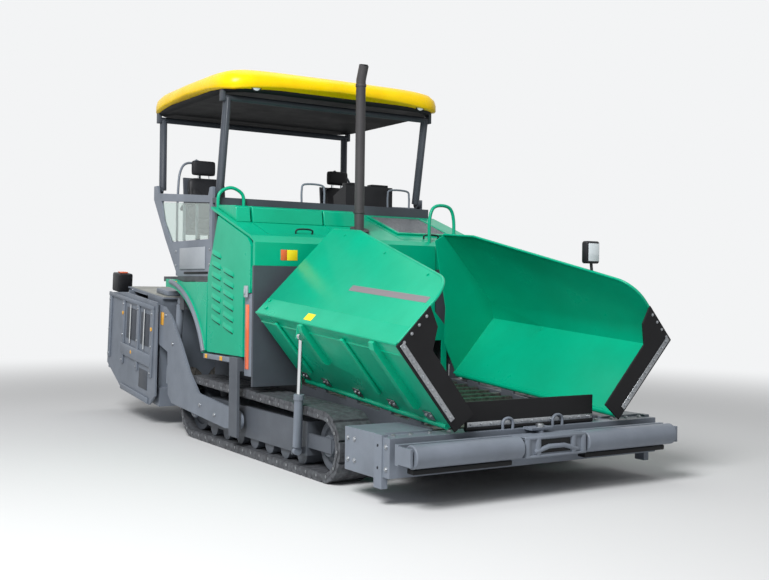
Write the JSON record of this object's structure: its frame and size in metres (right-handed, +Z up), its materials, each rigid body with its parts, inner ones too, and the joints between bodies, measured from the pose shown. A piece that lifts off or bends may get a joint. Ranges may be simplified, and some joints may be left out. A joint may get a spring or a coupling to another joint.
{
  "type": "tracked asphalt paver",
  "caption": "Tracked asphalt paver with raised hopper wings, slat conveyors, push rollers, augers, a lifted sliding screed and an open canopied platform.",
  "frame": {"origin": "on the ground under the centre of the bounding box", "axes": "+Z up; the machine drives towards -Y, so the hopper is at -Y and the screed at +Y; +X is its left side"},
  "size_m": [2.584, 6.3294, 3.5261],
  "materials": {
    "green": "gloss green enamel",
    "yellow": "gloss yellow moulded shell",
    "grey": "slate grey paint",
    "dark_grey": "anthracite paint",
    "steel": "bare and plated steel",
    "rubber": "matt black rubber",
    "black": "black moulded plastic",
    "seat": "black seat vinyl"
  },
  "bodies": {
    "tractor": {"chassis_frame": "dark_grey", "bulkhead": "dark_grey", "hopper_rear_wall": "green", "front_beam": "dark_grey", "hood_frame": "green", "exhaust_stack": "dark_grey", "engine_block": "dark_grey", "platform_floor": "dark_grey", "dash_wall": "dark_grey", "auger_gearbox": "dark_grey", "track_right": "rubber", "track_left": "rubber", "track_frame_right": "grey", "track_frame_left": "grey", "conveyor_right": "steel", "conveyor_left": "steel", "rear_panel_right": "green", "rear_panel_left": "green", "side_wall_right": "grey", "side_wall_left": "grey"},
    "apron": {"front_apron": "rubber"},
    "push_beam_body": {"push_beam": "grey"},
    "console": {"control_console": "black"},
    "front_posts": {"canopy_front_posts": "dark_grey"},
    "rear_posts": {"canopy_rear_posts": "dark_grey"},
    "roof": {"canopy_roof": "yellow"},
    "screed": {"screed_frame": "grey", "tow_arm_right": "grey", "tow_arm_left": "grey"},
    "wing_right": {"hopper_wing_right": "green", "wing_flap_right": "rubber"},
    "wing_barrel_right": {"wing_cylinder_right_barrel": "grey"},
    "wing_rod_right": {"wing_cylinder_right_rod": "steel"},
    "wing_left": {"hopper_wing_left": "green", "wing_flap_left": "rubber"},
    "wing_barrel_left": {"wing_cylinder_left_barrel": "grey"},
    "wing_rod_left": {"wing_cylinder_left_rod": "steel"},
    "push_roller_body_right": {"push_roller_right": "grey"},
    "push_roller_body_left": {"push_roller_left": "grey"},
    "lid_right": {"hood_lid_right": "green"},
    "door_right": {"side_door_right": "green"},
    "seat_right": {"seat_frame_right": "dark_grey", "seat_cushion_right": "seat"},
    "lid_left": {"hood_lid_left": "green"},
    "door_left": {"side_door_left": "green"},
    "seat_left": {"seat_frame_left": "dark_grey", "seat_cushion_left": "seat"},
    "bracket_right": {"tow_bracket_right": "steel"},
    "bracket_left": {"tow_bracket_left": "steel"},
    "lift_barrel_right": {"lift_cylinder_right_barrel": "grey"},
    "lift_rod_right": {"lift_cylinder_right_rod": "steel"},
    "extension_right": {"screed_extension_right": "grey"},
    "auger_body_right": {"auger_right": "steel"},
    "lift_barrel_left": {"lift_cylinder_left_barrel": "grey"},
    "lift_rod_left": {"lift_cylinder_left_rod": "steel"},
    "extension_left": {"screed_extension_left": "grey"},
    "auger_body_left": {"auger_left": "steel"}
  },
  "joints": [
    {"name": "wing_right_open", "type": "hinge", "parent": "tractor", "child": "wing_right", "pos_m": [-0.79, -0.82, 0.67], "axis": [0, -0.9976, -0.0698], "range_deg": [0, 30]},
    {"name": "wing_barrel_right_swing", "type": "hinge", "parent": "tractor", "child": "wing_barrel_right", "pos_m": [-1.235, -1.54885, 0.19801], "axis": [0, -0.9976, -0.0698], "range_deg": [-2, 20]},
    {"name": "wing_rod_right_stroke", "type": "slide", "parent": "wing_barrel_right", "child": "wing_rod_right", "axis": [-0.0112, -0.0698, 0.9975], "range_m": [-0.28, 0.005]},
    {"name": "wing_left_open", "type": "hinge", "parent": "tractor", "child": "wing_left", "pos_m": [0.79, -0.82, 0.67], "axis": [0, 0.9976, 0.0698], "range_deg": [0, 30]},
    {"name": "wing_barrel_left_swing", "type": "hinge", "parent": "tractor", "child": "wing_barrel_left", "pos_m": [1.235, -1.54885, 0.19801], "axis": [0, 0.9976, 0.0698], "range_deg": [-2, 20]},
    {"name": "wing_rod_left_stroke", "type": "slide", "parent": "wing_barrel_left", "child": "wing_rod_left", "axis": [0.0112, -0.0698, 0.9975], "range_m": [-0.28, 0.005]},
    {"name": "apron_fold", "type": "hinge", "parent": "tractor", "child": "apron", "pos_m": [0, -2.86, 0.488], "axis": [1, 0, 0], "range_deg": [0, 60]},
    {"name": "push_beam_swing", "type": "hinge", "parent": "tractor", "child": "push_beam_body", "pos_m": [0, -2.96, 0.37], "axis": [0, 0, 1], "range_deg": [-2, 2]},
    {"name": "push_roller_right_spin", "type": "hinge", "parent": "push_beam_body", "child": "push_roller_body_right", "pos_m": [-0.75, -3.085, 0.37], "axis": [1, 0, 0], "continuous": true},
    {"name": "push_roller_left_spin", "type": "hinge", "parent": "push_beam_body", "child": "push_roller_body_left", "pos_m": [0.75, -3.085, 0.37], "axis": [1, 0, 0], "continuous": true},
    {"name": "hood_lid_right_open", "type": "hinge", "parent": "tractor", "child": "lid_right", "pos_m": [-0.68, 0.15, 2.16064], "axis": [-1, 0, 0], "range_deg": [0, 50]},
    {"name": "side_door_right_open", "type": "hinge", "parent": "tractor", "child": "door_right", "pos_m": [-1.235, -0.7135, 1.5], "axis": [0, 0, 1], "range_deg": [0, 75]},
    {"name": "seat_right_swivel", "type": "hinge", "parent": "tractor", "child": "seat_right", "pos_m": [-0.8, 1.16, 1.55], "axis": [0, 0, 1], "range_deg": [-20, 20]},
    {"name": "hood_lid_left_open", "type": "hinge", "parent": "tractor", "child": "lid_left", "pos_m": [0.68, 0.15, 2.16064], "axis": [-1, 0, 0], "range_deg": [0, 50]},
    {"name": "side_door_left_open", "type": "hinge", "parent": "tractor", "child": "door_left", "pos_m": [1.235, -0.7135, 1.5], "axis": [0, 0, -1], "range_deg": [0, 75]},
    {"name": "seat_left_swivel", "type": "hinge", "parent": "tractor", "child": "seat_left", "pos_m": [0.8, 1.16, 1.55], "axis": [0, 0, 1], "range_deg": [-20, 20]},
    {"name": "console_slide", "type": "slide", "parent": "tractor", "child": "console", "axis": [-1, 0, 0], "range_m": [0, 1.16]},
    {"name": "canopy_fold", "type": "hinge", "parent": "tractor", "child": "front_posts", "pos_m": [0, 0.33, 2.34], "axis": [-1, 0, 0], "range_deg": [0, 40]},
    {"name": "canopy_roof_tilt", "type": "hinge", "parent": "front_posts", "child": "roof", "pos_m": [0, 0.18, 3.2], "axis": [-1, 0, 0], "range_deg": [-36, 1]},
    {"name": "canopy_rear_fold", "type": "hinge", "parent": "tractor", "child": "rear_posts", "pos_m": [0, 1.84, 2.46], "axis": [-1, 0, 0], "range_deg": [-1, 52]},
    {"name": "tow_point_right_height", "type": "slide", "parent": "tractor", "child": "bracket_right", "axis": [0, 0, 1], "range_m": [0, 0.1]},
    {"name": "tow_point_left_height", "type": "slide", "parent": "tractor", "child": "bracket_left", "axis": [0, 0, 1], "range_m": [0, 0.1]},
    {"name": "screed_lift", "type": "hinge", "parent": "bracket_right", "child": "screed", "pos_m": [0, -0.415, 0.3], "axis": [1, 0, 0], "range_deg": [-5.4, 0.5]},
    {"name": "lift_barrel_right_swing", "type": "hinge", "parent": "tractor", "child": "lift_barrel_right", "pos_m": [-1.155, 1.15, 1.3], "axis": [1, 0, 0], "range_deg": [-2, 2]},
    {"name": "lift_rod_right_stroke", "type": "slide", "parent": "lift_barrel_right", "child": "lift_rod_right", "axis": [0, 0.1275, -0.9918], "range_m": [-0.02, 0.165]},
    {"name": "extension_right_slide", "type": "slide", "parent": "screed", "child": "extension_right", "axis": [-1, 0, 0], "range_m": [0, 1.15]},
    {"name": "auger_right_spin", "type": "hinge", "parent": "tractor", "child": "auger_body_right", "pos_m": [-0.59, 1.3, 0.46], "axis": [1, 0, 0], "continuous": true},
    {"name": "lift_barrel_left_swing", "type": "hinge", "parent": "tractor", "child": "lift_barrel_left", "pos_m": [1.155, 1.15, 1.3], "axis": [1, 0, 0], "range_deg": [-2, 2]},
    {"name": "lift_rod_left_stroke", "type": "slide", "parent": "lift_barrel_left", "child": "lift_rod_left", "axis": [0, 0.1275, -0.9918], "range_m": [-0.02, 0.165]},
    {"name": "extension_left_slide", "type": "slide", "parent": "screed", "child": "extension_left", "axis": [1, 0, 0], "range_m": [0, 1.15]},
    {"name": "auger_left_spin", "type": "hinge", "parent": "tractor", "child": "auger_body_left", "pos_m": [0.59, 1.3, 0.46], "axis": [1, 0, 0], "continuous": true}
  ],
  "couplings": [
    {"joint": "wing_barrel_right_swing", "follows": "wing_right_open", "ratio": 0.545},
    {"joint": "wing_rod_right_stroke", "follows": "wing_right_open", "m_per_rad": -0.49},
    {"joint": "wing_barrel_left_swing", "follows": "wing_left_open", "ratio": 0.545},
    {"joint": "wing_rod_left_stroke", "follows": "wing_left_open", "m_per_rad": -0.49},
    {"joint": "canopy_roof_tilt", "follows": "canopy_fold", "ratio": -0.86},
    {"joint": "canopy_rear_fold", "follows": "canopy_fold", "ratio": 1.24},
    {"joint": "tow_point_left_height", "follows": "tow_point_right_height", "ratio": 1},
    {"joint": "lift_barrel_right_swing", "follows": "screed_lift", "ratio": -0.1},
    {"joint": "lift_rod_right_stroke", "follows": "screed_lift", "m_per_rad": -1.68},
    {"joint": "lift_barrel_left_swing", "follows": "screed_lift", "ratio": -0.1},
    {"joint": "lift_rod_left_stroke", "follows": "screed_lift", "m_per_rad": -1.68}
  ]
}
